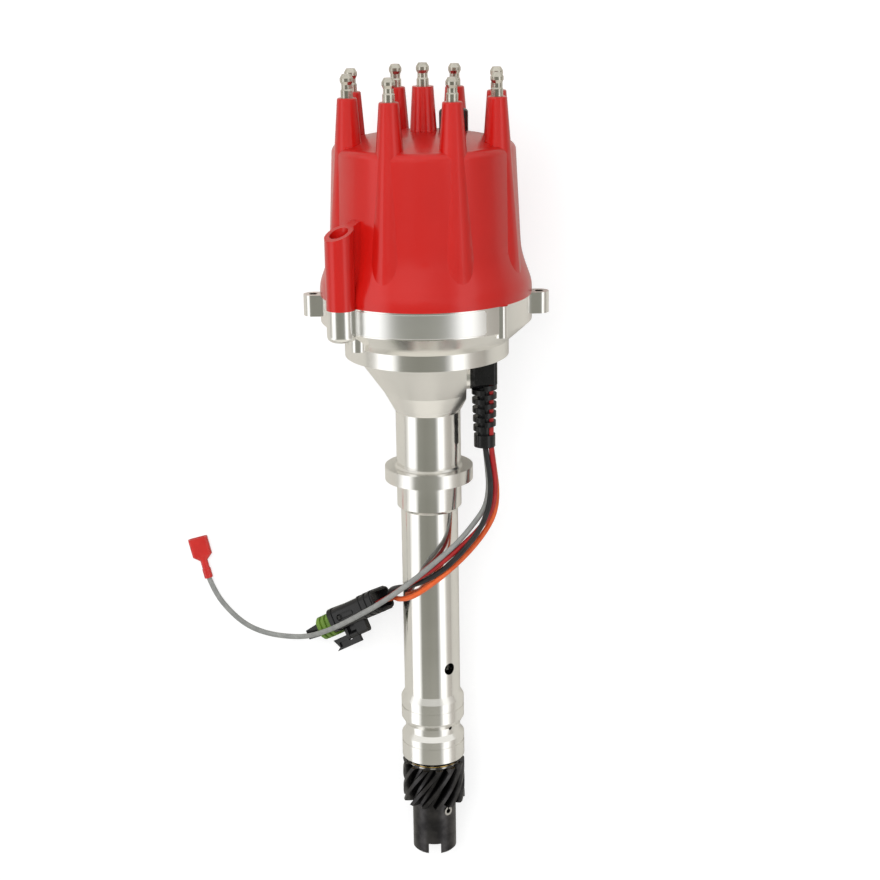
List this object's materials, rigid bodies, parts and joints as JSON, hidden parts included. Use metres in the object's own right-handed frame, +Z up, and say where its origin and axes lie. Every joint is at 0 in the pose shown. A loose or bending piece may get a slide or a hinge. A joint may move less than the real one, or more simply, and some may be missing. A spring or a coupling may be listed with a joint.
{
  "type": "ignition distributor",
  "caption": "Small-cap ignition distributor: turned aluminium housing with collar, red cap, helical drive gear and a lead with plug and push-on terminal.",
  "frame": {"origin": "on the shaft axis at the collar seat, the face that rests on the engine block", "axes": "+Z up from the surface the distributor lies on, +X to the side, +Y towards the cap; the shaft axis leans up by 7.81 degrees from +Y, because it rests on the bowl rim and the gear"},
  "size_m": [0.1867, 0.4081, 0.1056],
  "materials": {
    "housing": "polished",
    "cap": "glossy",
    "terminals": "bright nickel plate",
    "steel": "ground",
    "spring_steel": "wire",
    "gear": "dark, machined",
    "brass": "satin",
    "bronze": "satin",
    "black_plastic": "moulded, semi-gloss",
    "rotor_plastic": "moulded",
    "carbon": "matte",
    "red_sleeve": "translucent vinyl look",
    "green_seal": "matte",
    "wire_gray": "satin insulation",
    "wire_red": "satin insulation",
    "wire_black": "satin insulation",
    "wire_orange": "satin insulation"
  },
  "bodies": {
    "housing": {"housing": "housing", "cap": "cap", "plug_terminal_1": "terminals", "plug_terminal_2": "terminals", "plug_terminal_3": "terminals", "plug_terminal_4": "terminals", "plug_terminal_5": "terminals", "plug_terminal_6": "terminals", "plug_terminal_7": "terminals", "plug_terminal_8": "terminals", "coil_terminal": "terminals", "cap_screws": "steel", "cap_vent": "black_plastic", "bearing_outer_race": "steel", "bearing_balls": "steel", "lower_bushing": "bronze", "pickup_plate": "steel", "pickup_coil": "black_plastic", "pickup_pole": "steel", "pickup_screws": "steel", "ignition_module": "black_plastic", "module_screws": "steel", "bronze_washer": "brass", "strain_relief": "black_plastic", "brush_spring": "spring_steel", "wire_black": "wire_black", "wire_red": "wire_red", "wire_orange": "wire_orange", "wire_gray": "wire_gray", "plug_body": "black_plastic", "plug_seal": "green_seal", "terminal_sleeve": "red_sleeve", "terminal_clip": "brass"},
    "shaft": {"shaft": "steel", "bearing_inner_race": "steel", "reluctor": "steel", "advance_plate": "steel", "drive_gear": "gear", "roll_pin": "steel", "steel_washer": "steel", "spindle_clip": "spring_steel", "advance_spring_1": "spring_steel", "advance_spring_2": "spring_steel"},
    "advance": {"advance_cam": "steel", "stop_bushing": "brass", "rotor": "rotor_plastic", "rotor_screws": "steel", "rotor_blade": "brass", "rotor_contact": "brass"},
    "weight_1": {"advance_weight_1": "steel"},
    "weight_2": {"advance_weight_2": "steel"},
    "brush": {"carbon_brush": "carbon"},
    "plug_lock": {"plug_lock": "black_plastic"}
  },
  "joints": [
    {"name": "shaft_spin", "type": "hinge", "parent": "housing", "child": "shaft", "pos_m": [0, 0, 0], "axis": [0, 0.9907, 0.1359], "continuous": true},
    {"name": "centrifugal_advance", "type": "hinge", "parent": "shaft", "child": "advance", "pos_m": [0, 0, 0], "axis": [0, 0.9907, 0.1359], "range_deg": [0, 11], "stiffness_Nm_per_rad": 0.25, "deforming": ["advance_spring_1", "advance_spring_2"]},
    {"name": "weight_1_swing", "type": "hinge", "parent": "shaft", "child": "weight_1", "pos_m": [0, 0.10259, -0.0047], "axis": [0, 0.9907, 0.1359], "range_deg": [0, 22]},
    {"name": "weight_2_swing", "type": "hinge", "parent": "shaft", "child": "weight_2", "pos_m": [0, 0.09754, 0.03215], "axis": [0, 0.9907, 0.1359], "range_deg": [0, 22]},
    {"name": "brush_slide", "type": "slide", "parent": "housing", "child": "brush", "axis": [0, 0.9907, 0.1359], "range_m": [0, 0.002], "stiffness_N_per_m": 300, "deforming": ["brush_spring"]},
    {"name": "plug_lock_hinge", "type": "hinge", "parent": "housing", "child": "plug_lock", "pos_m": [-0.0395, -0.08445, -0.01904], "axis": [-0.763, -0.447, -0.467], "range_deg": [0, 85]}
  ],
  "couplings": [
    {"joint": "weight_1_swing", "follows": "centrifugal_advance", "ratio": 2},
    {"joint": "weight_2_swing", "follows": "centrifugal_advance", "ratio": 2}
  ]
}
